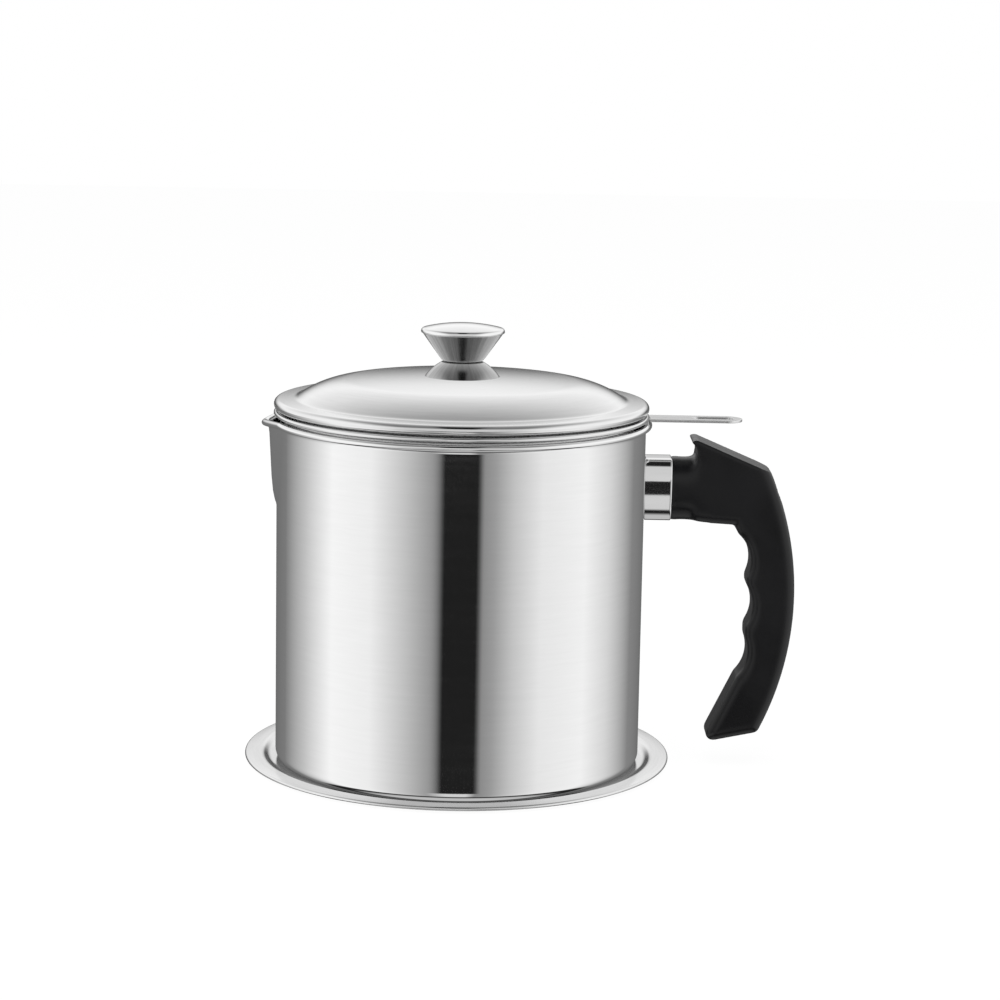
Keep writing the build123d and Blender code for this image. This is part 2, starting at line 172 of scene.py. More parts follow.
# white nylon, lit from outside, so it has no grain of its own: only its broad light and dark panels show in the steel
def tentCloth():
    material, tree, place = newMaterial("reflectionTent")
    parts = add(tree, "ShaderNodeSeparateXYZ", Vector=place)
    front = add(tree, "ShaderNodeMath", {"operation": "MULTIPLY", 1: -1.0}, in0=parts.outputs["Y"])
    turn = add(tree, "ShaderNodeMath", {"operation": "ARCTAN2"}, in0=parts.outputs["X"], in1=front)
    bearing = add(tree, "ShaderNodeMapRange", {"From Min": -pi, "From Max": pi}, Value=turn)
    height = add(tree, "ShaderNodeMath", {"operation": "ABSOLUTE"}, in0=parts.outputs["Z"])
    over = add(tree, "ShaderNodeMath", {"operation": "ARCTAN2"}, in0=height, in1=parts.outputs["Y"])
    over = add(tree, "ShaderNodeMapRange", {"From Max": pi}, Value=over)
    panel = {}
    for names, way, start, whole in ((("walls", "window"), bearing, 180, 360), (("roof", "boom"), over, 0, 180)):
        for name in names:
            stops = [((angle + start) / whole, grey) for angle, grey in tent[name]]
            panel[name] = add(tree, "ShaderNodeValToRGB", {"stops": stops}, Fac=way)
    fade = {"interpolation_type": "SMOOTHSTEP"}
    edge = {}
    for name, (low, high) in tent["heights"].items():
        limits = {"From Min": low, "From Max": high}
        edge[name] = add(tree, "ShaderNodeMapRange", {**fade, **limits}, Value=parts.outputs["Z"])
    across = add(tree, "ShaderNodeMath", {"operation": "ABSOLUTE"}, in0=parts.outputs["X"])
    for name in ("boomWidth", "whiteSides"):
        near, far = tent[name]
        limits = {"From Min": near * tent["radius"], "From Max": far * tent["radius"]}
        edge[name] = add(tree, "ShaderNodeMapRange", {**fade, **limits}, Value=across)
    band = add(tree, "ShaderNodeMath", {"operation": "SUBTRACT"}, in0=edge["windowLow"], in1=edge["windowHigh"])
    window = add(tree, "ShaderNodeMath", {"operation": "MULTIPLY"}, in0=band, in1=panel["window"])
    middle = add(tree, "ShaderNodeMath", {"operation": "SUBTRACT", 0: 1.0}, in1=edge["boomWidth"])
    boom = add(tree, "ShaderNodeMath", {"operation": "MULTIPLY"}, in0=middle, in1=panel["boom"])
    mix = {"data_type": "RGBA"}
    dark, ground, table = (linear(tent[name]) for name in ("windowGrey", "groundGrey", "tableGrey"))
    sides = add(tree, "ShaderNodeMix", {**mix, 7: dark}, in0=window, in6=panel["walls"])
    below = add(tree, "ShaderNodeMix", {**mix, 6: table, 7: ground}, in0=edge["table"])
    sides = add(tree, "ShaderNodeMix", mix, in0=edge["ground"], in6=below.outputs[2], in7=sides.outputs[2])
    top = add(tree, "ShaderNodeMix", {**mix, 7: white}, in0=edge["whiteSides"], in6=panel["roof"])
    top = add(tree, "ShaderNodeMix", {**mix, 7: dark}, in0=boom, in6=top.outputs[2])
    colour = add(tree, "ShaderNodeMix", mix, in0=edge["eaves"], in6=sides.outputs[2], in7=top.outputs[2])
    glow = add(tree, "ShaderNodeEmission", {"Strength": tent["glow"]}, Color=colour.outputs[2])
    add(tree, "ShaderNodeOutputMaterial", Surface=glow)
    material.cycles.emission_sampling = "NONE"
    return material


tentMesh = bpy.data.meshes.new("reflectionTent")
shape = bmesh.new()
around, upward = tent["facets"]
bmesh.ops.create_uvsphere(shape, u_segments=around, v_segments=upward, radius=tent["radius"])
shape.to_mesh(tentMesh)
shape.free()
tentMesh.materials.append(tentCloth())
tentObject = placed("reflectionTent", tentMesh)
tentObject.visible_camera = False  # only gloss looks into it
tentObject.visible_diffuse = False
tentObject.visible_shadow = False
tentObject.visible_transmission = False

for name, (place, aim, size, power) in studio["lamps"].items():
    lampData = bpy.data.lights.new(name, "AREA")
    lampData.shape = "RECTANGLE"
    lampData.size, lampData.size_y = size
    lampData.energy = power
    lamp = placed(name, lampData)
    lamp.location = place
    lamp.rotation_euler = (Vector(aim) - Vector(place)).to_track_quat("-Z", "Y").to_euler()
    lamp.visible_glossy = False  # the tent gives the gloss

world = bpy.data.worlds.new("whiteRoom")
world.use_nodes = True
room = world.node_tree
room.nodes.clear()
fill = add(room, "ShaderNodeBackground", {"Color": white, "Strength": studio["fill"]})
backdrop = add(room, "ShaderNodeBackground", {"Color": white, "Strength": 1.0})
both = add(room, "ShaderNodeMixShader", in0=seenStraight(room), in1=fill, in2=backdrop)
add(room, "ShaderNodeOutputWorld", Surface=both)
scene.world = world
scene.view_settings.view_transform = "Standard"
print("studio ready")


steel = {  # mm, except the two shares
    "lineShare": 0.6,  # what one line takes of the noise's period
    "lineRun": 17,  # a line round the wall or along the sheet fades after this
    "uprightRing": 10, "uprightRise": 0.04,  # upright lines: the ring they stand on, the share of height that counts
    "turnRun": 4,  # turned rings: what a turn of one radian counts along the line
    "cloud": 22, "swell": 45,  # broad blotches, and the slow wave of a pressed wall
}


def steelFinish(name, light, dark, rough, roughSpread, lines, lineWidth, depth, wave=0.0):
    # widths, depths and waves in mm; lines is "around" for a spun wall, "rings" for a turned face, "upright" for one
    # brushed from foot to top, "along" for sheet brushed along X, "cloud" for bare pressed metal
    material, tree, place = newMaterial(name)
    fine = steel["lineShare"] / (lineWidth * mm)
    long = 1 / (steel["lineRun"] * mm)
    scale = {"around": (long, long, fine), "along": (long, fine, fine)}.get(lines, (fine, fine, fine))
    coords = place
    if lines in ("upright", "rings"):
        flat = add(tree, "ShaderNodeVectorMath", {"operation": "MULTIPLY", 1: (1, 1, 0)}, in0=place)
    if lines == "upright":
        # the same line from foot to top: only the direction round the axis counts
        away = add(tree, "ShaderNodeVectorMath", {"operation": "NORMALIZE"}, in0=flat)
        ring = {"operation": "SCALE", "Scale": steel["uprightRing"] * mm}
        ring = add(tree, "ShaderNodeVectorMath", ring, in0=away)
        rise = {"operation": "MULTIPLY_ADD", 1: (0, 0, steel["uprightRise"])}
        coords = add(tree, "ShaderNodeVectorMath", rise, in0=place, in2=ring)
    elif lines == "rings":
        parts = add(tree, "ShaderNodeSeparateXYZ", Vector=place)
        radius = add(tree, "ShaderNodeVectorMath", {"operation": "LENGTH"}, in0=flat)
        turn = add(tree, "ShaderNodeMath", {"operation": "ARCTAN2"}, in0=parts.outputs["Y"], in1=parts.outputs["X"])
        slow = add(tree, "ShaderNodeMath", {"operation": "MULTIPLY", 1: steel["turnRun"] * mm}, in0=turn)
        coords = add(tree, "ShaderNodeCombineXYZ", X=radius.outputs["Value"], Y=slow)
    drawn = add(tree, "ShaderNodeVectorMath", {"operation": "MULTIPLY", 1: scale}, in0=coords)
    look = {"Scale": 1.0, "Detail": 4.0, "Roughness": 0.6}
    grain = add(tree, "ShaderNodeTexNoise", look, Vector=drawn)
    colour = add(tree, "ShaderNodeValToRGB", {"stops": [(0.3, dark), (0.7, light)]}, Fac=grain)
    look = {"Scale": 1 / (steel["cloud"] * mm), "Detail": 3.0}
    cloud = add(tree, "ShaderNodeTexNoise", look, Vector=place)
    blotch = add(tree, "ShaderNodeMath", {"operation": "MULTIPLY_ADD", 1: 0.5}, in0=cloud, in2=grain)
    limits = {"From Min": 0.5, "From Max": 1.0, "To Min": rough, "To Max": rough + roughSpread}
    gloss = add(tree, "ShaderNodeMapRange", limits, Value=blotch)
    normal = add(tree, "ShaderNodeBump", {"Strength": 1.0, "Distance": depth * mm}, Height=grain)
    if wave:
        look = {"Scale": 1 / (steel["swell"] * mm), "Detail": 1.0}
        swell = add(tree, "ShaderNodeTexNoise", look, Vector=place)
        relief = {"Strength": 1.0, "Distance": wave * mm}
        normal = add(tree, "ShaderNodeBump", relief, Height=swell, Normal=normal)
    metal = {"Metallic": 1.0}
    surface = add(tree, "ShaderNodeBsdfPrincipled", metal, Base_Color=colour, Roughness=gloss, Normal=normal)
    add(tree, "ShaderNodeOutputMaterial", Surface=surface)
    return material


# mirror-polished 18/8 stainless, spun and buffed: near-white, with faint lines round the wall
polishedPot = steelFinish("polishedStainlessWall", "#E3E3E3", "#E0E0E0", 0.03, 0.035, "around", 0.8, 0.0003, 0.012)
# satin stainless: fine rings from the lathe cloth spread the light into a soft cone
satinLid = steelFinish("satinStainlessLid", "#DEDEDE", "#D8D8D8", 0.10, 0.04, "rings", 0.7, 0.0006)
# the pressed tray keeps the mill's satin on its flange: lighter than the wall, with soft reflections
satinTray = steelFinish("satinStainlessTray", "#E0E0E0", "#D4D4D4", 0.12, 0.07, "rings", 0.8, 0.0010)
# drawn oval tube, buffed after it was coped to the pot: sharp bright and dark bands
polishedFerrule = steelFinish("polishedStainlessFerrule", "#E2E2E2", "#DCDCDC", 0.05, 0.05, "around", 0.8, 0.0005)
# pressed cap, buffed on a wheel: the brightest piece, with hardly a line on it
polishedCap = steelFinish("polishedStainlessCap", "#E4E4E4", "#DEDEDE", 0.06, 0.05, "rings", 0.7, 0.0005)
# the knob's skirt is brushed upright after spinning; its colour, greyer than the cap's, is painted shade standing in
# for the darker reflections it shows
brushedKnobPaintedShade = steelFinish("brushedStainlessKnob", "#B4B4B4", "#9E9E9E", 0.12, 0.07, "upright", 0.5, 0.0008)
# the cone takes the same brush with a lighter hand, so its lines stand out more; its grey, paler than the skirt's, is
# painted shade standing in for the darker reflections it shows
brushedConePaintedShade = steelFinish("brushedStainlessCone", "#CECECE", "#ACACAC", 0.14, 0.08, "upright", 0.5, 0.0012)
# the same steel in the knob's seam, matt and painted near-black: a painted shade for the shadow in the groove between
# skirt and cone
paintedSeamShade = steelFinish("heatDarkenedSeam", "#161616", "#0C0C0C", 0.50, 0.10, "cloud", 0.5, 0.0010)
# rolled collar of the strainer, lightly brushed round: it softens the dark lines between it and the lid
brushedCollar = steelFinish("brushedStainlessCollar", "#E0E0E0", "#D6D6D6", 0.08, 0.08, "around", 0.7, 0.0010)
# stamped tab, brushed along its length and tumbled, so its edges run bright
brushedTab = steelFinish("brushedStainlessTab", "#DEDEDE", "#CECECE", 0.14, 0.10, "along", 0.6, 0.0020)
# drawn stainless wire, thin and bright, a little oily at the crossings
drawnWire = steelFinish("drawnStainlessWire", "#D8D8D8", "#BCBCBC", 0.18, 0.12, "cloud", 0.8, 0.0020)
# zinc-plated steel screws: slightly blue and mottled
zincPlate = steelFinish("zincPlatedSteel", "#C9CCD0", "#AEB2B8", 0.24, 0.14, "cloud", 0.5, 0.0040)


moulding = {"pebble": 0.5, "pebbleHeight": 0.02, "cloud": 17, "seam": 0.35, "seamHeight": 0.10}  # mm


# moulded phenolic: near-black, semi-gloss, a fine pebble from the mould and a hair-line seam down its middle
def mouldedPhenolic():
    material, tree, place = newMaterial("mouldedBlackPhenolic")
    look = {"Scale": 0.6 / (moulding["pebble"] * mm), "Detail": 3.0, "Roughness": 0.55}
    pebble = add(tree, "ShaderNodeTexNoise", look, Vector=place)
    look = {"Scale": 1 / (moulding["cloud"] * mm), "Detail": 4.0}
    cloud = add(tree, "ShaderNodeTexNoise", look, Vector=place)
    colour = add(tree, "ShaderNodeValToRGB", {"stops": [(0.35, "#08080A"), (0.65, "#0E0E10")]}, Fac=cloud)
    limits = {"From Min": 0.3, "From Max": 0.7, "To Min": 0.27, "To Max": 0.35}
    gloss = add(tree, "ShaderNodeMapRange", limits, Value=cloud)
    side = add(tree, "ShaderNodeSeparateXYZ", Vector=place)
    away = add(tree, "ShaderNodeMath", {"operation": "ABSOLUTE"}, in0=side.outputs["Y"])
    limits = {"interpolation_type": "SMOOTHSTEP", "From Max": moulding["seam"] * mm, "To Min": 1.0, "To Max": 0.0}
    seam = add(tree, "ShaderNodeMapRange", limits, Value=away)
    relief = {"Strength": 0.7, "Distance": moulding["seamHeight"] * mm}
    line = add(tree, "ShaderNodeBump", relief, Height=seam)
    relief = {"Strength": 0.5, "Distance": moulding["pebbleHeight"] * mm}
    skin = add(tree, "ShaderNodeBump", relief, Height=pebble, Normal=line)
    resin = {"IOR": 1.5, "Specular IOR Level": 0.3}
    surface = add(tree, "ShaderNodeBsdfPrincipled", resin, Base_Color=colour, Roughness=gloss, Normal=skin)
    add(tree, "ShaderNodeOutputMaterial", Surface=surface)
    return material


blackGrip = mouldedPhenolic()
print("finishes ready")


# sheet profiles are lists of (radius, height) in mm
def arc(centre, radius, start, sweep, steps):
    turns = [radians(start + sweep * i / steps) for i in range(steps + 1)]
    return [(centre[0] + radius * cos(turn), centre[1] + radius * sin(turn)) for turn in turns]


def crowned(top, radius, shoulder, foot, steps=40):
    # shallow crown from the axis, then a rounder shoulder that meets it smoothly and ends at foot
    reaches = [shoulder * i / steps for i in range(steps + 1)]
    line = [(r, top - radius + sqrt(radius ** 2 - r ** 2)) for r in reaches]
    start = Vector(line[-1])
    inward = Vector((-shoulder, -sqrt(radius ** 2 - shoulder ** 2))).normalized()
    chord = Vector(foot) - start
    bend = chord.length_squared / (2 * chord.dot(inward))
    centre = start + inward * bend
    first = degrees(atan2(start.y - centre.y, start.x - centre.x))
    last = degrees(atan2(foot[1] - centre.y, foot[0] - centre.x))
    return line + arc(centre, bend, first, last - first, 24)[1:]


def trimmed(line, reach):
    # takes reach mm off the end of a line and keeps two close points there, so flat faces shade flat
    line = [Vector(p) for p in line]
    while len(line) > 2 and (line[-1] - line[-2]).length <= reach:
        reach -= (line[-1] - line[-2]).length
        line.pop()
    run = line[-1] - line[-2]
    reach = min(reach, run.length * 0.45)
    line[-1] = line[-1] - run.normalized() * reach
    left = (line[-1] - line[-2]).length
    extra = [line[-1] - run.normalized() * d for d in (1.2, 0.35) if left > d * 1.6]
    return line[:-1] + extra + [line[-1]]


def joined(pieces, reach, steps=5):
    # joins lines end to end and rounds each corner between them over reach mm
    line = trimmed(pieces[0], reach)
    for number, piece in enumerate(pieces[1:], 1):
        corner = Vector(piece[0])
        rest = trimmed(piece[::-1], reach)[::-1]
        start, end = line[-1], rest[0]
        for i in range(1, steps):
            t = i / steps
            line.append(start * (1 - t) ** 2 + corner * 2 * t * (1 - t) + end * t ** 2)
        line += rest
        if number < len(pieces) - 1:
            line = trimmed(line, reach)
    return line


def thickened(line, thickness, side, openStart=False):
    # closed section of sheet: the line is one face, the other lies to its side (-1 right, 1 left)
    line = [Vector(p) for p in line]
    other = []
    for i, point in enumerate(line):
        before = (point - line[i - 1] if i else line[1] - point).normalized()
        after = (line[i + 1] - point).normalized() if i < len(line) - 1 else before
        mean = (before + after).normalized()
        across = Vector((-mean.y, mean.x)) * side
        if openStart and i == 0:
            across = Vector((0, -1 if across.y < 0 else 1))
        other.append(point + across * thickness / max(0.5, mean.dot(after)))

    def roundEdge(near, far, out):
        # inner points of the half circle from one face to the other
        middle, out = (near + far) / 2, out.normalized()
        turns = [pi * i / 6 for i in range(1, 6)]
        return [middle + (near - middle) * cos(turn) + out * thickness / 2 * sin(turn) for turn in turns]

    section = line + roundEdge(line[-1], other[-1], line[-1] - line[-2]) + other[::-1]
    if not openStart:
        section += roundEdge(other[0], line[0], line[0] - line[1])
    return section


weld = 2e-6  # metres: points closer than this become one


# the lathe: one tree that spins a section about the pot's axis
def latheTree():
    tree = bpy.data.node_groups.new("spinSheet", "GeometryNodeTree")
    face = tree.interface
    face.new_socket("Section", in_out="INPUT", socket_type="NodeSocketGeometry")
    for name, kind, value in (("Segments", "Int", 192), ("Closed Section", "Int", 1), ("Weld Distance", "Float", weld)):
        face.new_socket(name, in_out="INPUT", socket_type="NodeSocket" + kind).default_value = value
    face.new_socket("Finish", in_out="INPUT", socket_type="NodeSocketMaterial")
    face.new_socket("Sheet", in_out="OUTPUT", socket_type="NodeSocketGeometry")
    given = add(tree, "NodeGroupInput").outputs
    size = add(tree, "GeometryNodeAttributeDomainSize", {"component": "MESH"}, Geometry=given["Section"])
    points = size.outputs["Point Count"]
    rows = add(tree, "ShaderNodeMath", {"operation": "ADD"}, in0=points, in1=given["Closed Section"])
    columns = add(tree, "ShaderNodeMath", {"operation": "ADD", 1: 1.0}, in0=given["Segments"])
    grid = add(tree, "GeometryNodeMeshGrid", Vertices_X=columns, Vertices_Y=rows)
    index = add(tree, "GeometryNodeInputIndex")
    column = add(tree, "ShaderNodeMath", {"operation": "DIVIDE"}, in0=index, in1=rows)
    column = add(tree, "ShaderNodeMath", {"operation": "FLOOR"}, in0=column)
    row = add(tree, "ShaderNodeMath", {"operation": "MODULO"}, in0=index, in1=rows)
    row = add(tree, "ShaderNodeMath", {"operation": "MODULO"}, in0=row, in1=points)
    place = add(tree, "GeometryNodeInputPosition")
    kind = {"data_type": "FLOAT_VECTOR"}
    sample = add(tree, "GeometryNodeSampleIndex", kind, Geometry=given["Section"], Value=place, Index=row)
    part = add(tree, "ShaderNodeMath", {"operation": "DIVIDE"}, in0=column, in1=given["Segments"])
    turn = add(tree, "ShaderNodeMath", {"operation": "MULTIPLY", 1: 2 * pi}, in0=part)
    turned = add(tree, "ShaderNodeVectorRotate", {"rotation_type": "Z_AXIS"}, Vector=sample, Angle=turn)
    moved = add(tree, "GeometryNodeSetPosition", Geometry=grid, Position=turned)
    welded = add(tree, "GeometryNodeMergeByDistance", Geometry=moved, Distance=given["Weld Distance"])
    smooth = add(tree, "GeometryNodeSetShadeSmooth", Geometry=welded)
    real = add(tree, "GeometryNodeRealizeInstances", Geometry=smooth)
    painted = add(tree, "GeometryNodeSetMaterial", Geometry=real, Material=given["Finish"])
    add(tree, "NodeGroupOutput", Sheet=painted)
    return tree


def baked(name, carrier):
    # the carrier's shape after its modifier, kept as a plain mesh
    ready = carrier.evaluated_get(bpy.context.evaluated_depsgraph_get())
    mesh = bpy.data.meshes.new_from_object(ready)
    bpy.data.objects.remove(carrier)
    mesh.name = name
    return placed(name, mesh)


def applied(name, base, tree, values):
    # runs a tree on a mesh
    carrier = placed(name + "Base", base)
    modifier = carrier.modifiers.new(name, "NODES")
    modifier.node_group = tree
    for socket in tree.interface.items_tree:
        if socket.in_out == "INPUT" and socket.name in values:
            modifier[socket.identifier] = values[socket.name]
    return baked(name, carrier)


def outwards(mesh):
    # turns all faces outwards
    shape = bmesh.new()
    shape.from_mesh(mesh)
    bmesh.ops.recalc_face_normals(shape, faces=shape.faces)
    shape.to_mesh(mesh)
    shape.free()


def skinned(name, rows, closed, finish):
    # smooth skin over rows of points in mm; the last row joins the first, and closed joins the ends of each row too
    wide = len(rows[0])
    faces = []
    for r in range(len(rows)):
        s = (r + 1) % len(rows)
        for i in range(wide if closed else wide - 1):
            j = (i + 1) % wide
            faces.append((r * wide + i, s * wide + i, s * wide + j, r * wide + j))
    mesh = bpy.data.meshes.new(name)
    mesh.from_pydata([(x * mm, y * mm, z * mm) for row in rows for x, y, z in row], [], faces)
    shape = bmesh.new()
    shape.from_mesh(mesh)
    bmesh.ops.remove_doubles(shape, verts=shape.verts, dist=weld)
    bmesh.ops.recalc_face_normals(shape, faces=shape.faces)
    for polygon in shape.faces:
        polygon.smooth = True
    shape.to_mesh(mesh)
    shape.free()
    mesh.materials.append(finish)
    return placed(name, mesh)


lathe = latheTree()


def spun(name, section, finish, closed=True, segments=192):
    base = bpy.data.meshes.new(name + "Section")
    base.from_pydata([(p[0] * mm, 0, p[1] * mm) for p in section], [(i, i + 1) for i in range(len(section) - 1)], [])
    piece = applied(name, base, lathe, {"Segments": segments, "Closed Section": int(closed), "Finish": finish})
    outwards(piece.data)
    return piece


tray = {
    "recess": 62.0, "slope": 2.0, "rim": 70.0, "top": 2.2, "sheet": 0.5, "hem": 1.2, "hemWidth": 2.4, "bend": 0.9,
    "midRow": 30, "foldRows": (0.15, 0.5, 1),  # shares of the hem's width
}


def makeTray():
    sheet, top, edge = tray["sheet"], tray["top"], tray["rim"] - tray["hem"] / 2
    step = [(tray["recess"], sheet), (tray["recess"] + tray["slope"], top)]
    face = joined([[(0, sheet), (tray["midRow"], sheet), step[0]], step, [step[1], (edge, top)]], tray["bend"])
    hem = arc((edge, top - tray["hem"] / 2), tray["hem"] / 2, 90, -180, 10)
    fold = [(edge - tray["hemWidth"] * k, top - tray["hem"]) for k in tray["foldRows"]]
    section = thickened(face + [Vector(p) for p in hem[1:] + fold], sheet, -1, openStart=True)
    return spun("dripTraySheet", section, satinTray, closed=False, segments=224)


trayPiece = makeTray()
trayPiece.visible_glossy = False  # the foot of the wall stays clear of its mirror image
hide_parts("drip_tray")
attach(trayPiece, "tray")
print("tray made")


pot = {
    "radius": 60.0, "sheet": 0.6, "bottom": 0.5, "rimHeight": 112.45, "corner": 3.0, "footWidth": 9.0, "panelRise": 0.8,
    "rimOut": 0.75, "rimWide": 1.25, "rimTall": 1.05, "rimDip": 1.7, "rimTurn": (178, -118),  # degrees of the roll
    "mouthReach": 3.6, "lipLow": 85.5, "leastReach": 0.02, "noseSoft": (0.035, 0.012),  # radians
    "lipSteps": ((0, 0.0), (1.5, 0.9), (4.5, 1.65), (9.5, 2.2), (23.5, 3.0), (28.0, 3.6)),  # rise, reach
    "columns": 288, "lipColumns": 90, "lipSpread": 0.42,  # radians either side of the nose
    "plainTop": 82, "plainRows": 8, "lipRows": 34, "rimRows": 24, "underRim": 1.1, "rimEnd": (0.02, 1.02),
    "midRow": 20,
    # the base bends in small steps, out from the foot's inner edge and up from the panel or the foot
    "panelInside": ((-3, 0), (-1.5, 0), (-0.9, -0.1)), "footInside": ((0, 0.12), (0.8, 0), (2, 0)),
    "footOutside": ((2, 0), (0.5, 0), (-0.4, 0.3)), "panelOutside": ((-1.0, -0.05), (-1.8, 0), (-4, 0)),
}


def lipReach(height):
    # how far the lip stands out at a height, straight between the steps
    rise = height - pot["lipLow"]
    steps = pot["lipSteps"]
    for (low, near), (high, far) in zip(steps, steps[1:]):
        if rise <= high:
            return near + (far - near) * max(0.0, (rise - low) / (high - low))
    return steps[-1][1]


def lipRadius(circle, reach, angle):
    # plan of the wall at an angle from the lip's nose: two flanks that leave the circle as tangents
    if reach <= pot["leastReach"]:
        return circle
    spread = acos(circle / (circle + reach))
    tip = circle + reach
    blunt, shift = pot["noseSoft"]
    soft = sqrt(angle ** 2 + blunt ** 2) - shift
    if soft >= spread:
        return circle
    return min(tip, circle / cos(spread - soft))


def makePot():
    # finer columns over the lip, which points to -X
    fine, side = pot["lipColumns"], pot["lipSpread"]
    marks = [(-1 + 2 * i / fine) * side for i in range(fine + 1)]
    rest = pot["columns"] - len(marks)
    marks += [side + (2 * pi - 2 * side) * (i + 1) / (rest + 1) for i in range(rest)]
    radius, sheet, bottom = pot["radius"], pot["sheet"], pot["bottom"]
    footOuter = radius - pot["corner"]
    footInner = footOuter - pot["footWidth"]
    panel = bottom + pot["panelRise"]
    inside = [(0, panel + sheet), (pot["midRow"], panel + sheet)]
    inside += [(footInner + out, panel + sheet + up) for out, up in pot["panelInside"]]
    inside += [(footInner + out, bottom + sheet + up) for out, up in pot["footInside"]] + [(footOuter, bottom + sheet)]
    inside += arc((footOuter, bottom + pot["corner"]), pot["corner"] - sheet, -90, 90, 8)[1:]
    outside = arc((footOuter, bottom + pot["corner"]), pot["corner"], 0, -90, 10)
    outside += [(footInner + out, bottom + up) for out, up in pot["footOutside"]]
    outside += [(footInner + out, panel + up) for out, up in pot["panelOutside"]] + [(pot["midRow"], panel), (0, panel)]
    rimMiddle = radius + pot["rimOut"]
    tip = rimMiddle + pot["mouthReach"]
    corner = rimMiddle * rimMiddle / tip
    low, plain = bottom + pot["corner"] + 2, pot["plainTop"]
    columns = []
    for mark in marks:
        away = min(abs(mark), abs(2 * pi - mark))
        bead = lipRadius(rimMiddle, pot["mouthReach"], away)
        dip = pot["rimDip"] * max(0.0, (bead * cos(away) - corner) / (tip - corner))
        level = pot["rimHeight"] - dip
        heights = [low - 1.5, low]
        for start, end, rows in ((low, plain, pot["plainRows"]), (plain, level - pot["underRim"], pot["lipRows"])):
            heights += [start + (end - start) * (i + 1) / rows for i in range(rows)]
        wall = [(lipRadius(radius, lipReach(z + dip), away), z) for z in heights]
        # rolled rim, from the inner wall over the top to the wall below it
        start, end = pot["rimTurn"]
        turns = [radians(start - i * (start - end) / pot["rimRows"]) for i in range(pot["rimRows"] + 1)]
        rim = [(bead + pot["rimWide"] * cos(turn), level + pot["rimTall"] * sin(turn)) for turn in turns]
        out, down = pot["rimEnd"]
        rim.append((lipRadius(radius, lipReach(level + dip), away) + out, level - down))
        line = inside + [(r - sheet, z) for r, z in wall] + rim + wall[::-1][1:] + outside
        turn = pi + mark
        columns.append([(r * cos(turn), r * sin(turn), z) for r, z in line])
    return skinned("potBodySheet", columns, False, polishedPot)


potPiece = makePot()
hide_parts("pot_body")
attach(potPiece, "pot")
print("pot made")


strainer = {
    "collarOuter": 59.1, "collarWall": 0.6, "collarTop": 115.5, "collarBottom": 104.5, "insideRow": 110,
    "outsideRow": 112, "foldRound": 0.4, "hemRound": 0.3, "foot": 0.25, "footRow": 1.5, "beadRadius": 0.75,
    "beadOut": 1.15, "beadHeight": 114.95, "beadTurn": (118, -278), "meshRadius": 58.1, "meshDepth": 30.7,
    "meshUp": 0.4, "pitch": 2.0, "wire": 0.42,  # the real mesh is finer: it is drawn as coarse as it needs to show
}


def makeCollar():
    outer, wall, bend, hem = (strainer[name] for name in ("collarOuter", "collarWall", "foldRound", "hemRound"))
    top, low, beadHeight = strainer["collarTop"], strainer["collarBottom"], strainer["beadHeight"]
    inner = outer - wall
    foot, row = low + strainer["foot"], low + strainer["footRow"]
    section = [(inner, foot), (inner, row), (inner, strainer["insideRow"]), (inner, top - 1), (inner, top - bend)]
    section += arc((inner + bend, top - bend), bend, 180, -90, 5)[1:]
    section += arc((outer + wall - bend, top - bend), bend, 90, -90, 5) + [(outer + wall, top - 0.5)]
    section += arc((outer + strainer["beadOut"], beadHeight), strainer["beadRadius"], *strainer["beadTurn"], 22)
    section += [(outer, beadHeight - 0.8), (outer, strainer["outsideRow"]), (outer, row), (outer, foot)]
    section += arc((outer - hem, low + hem), hem, 0, -180, 6)[1:-1]
    return spun("strainerCollar", section, brushedCollar)


collarPiece = makeCollar()
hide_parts("strainer_rim")
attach(collarPiece, "strainer")


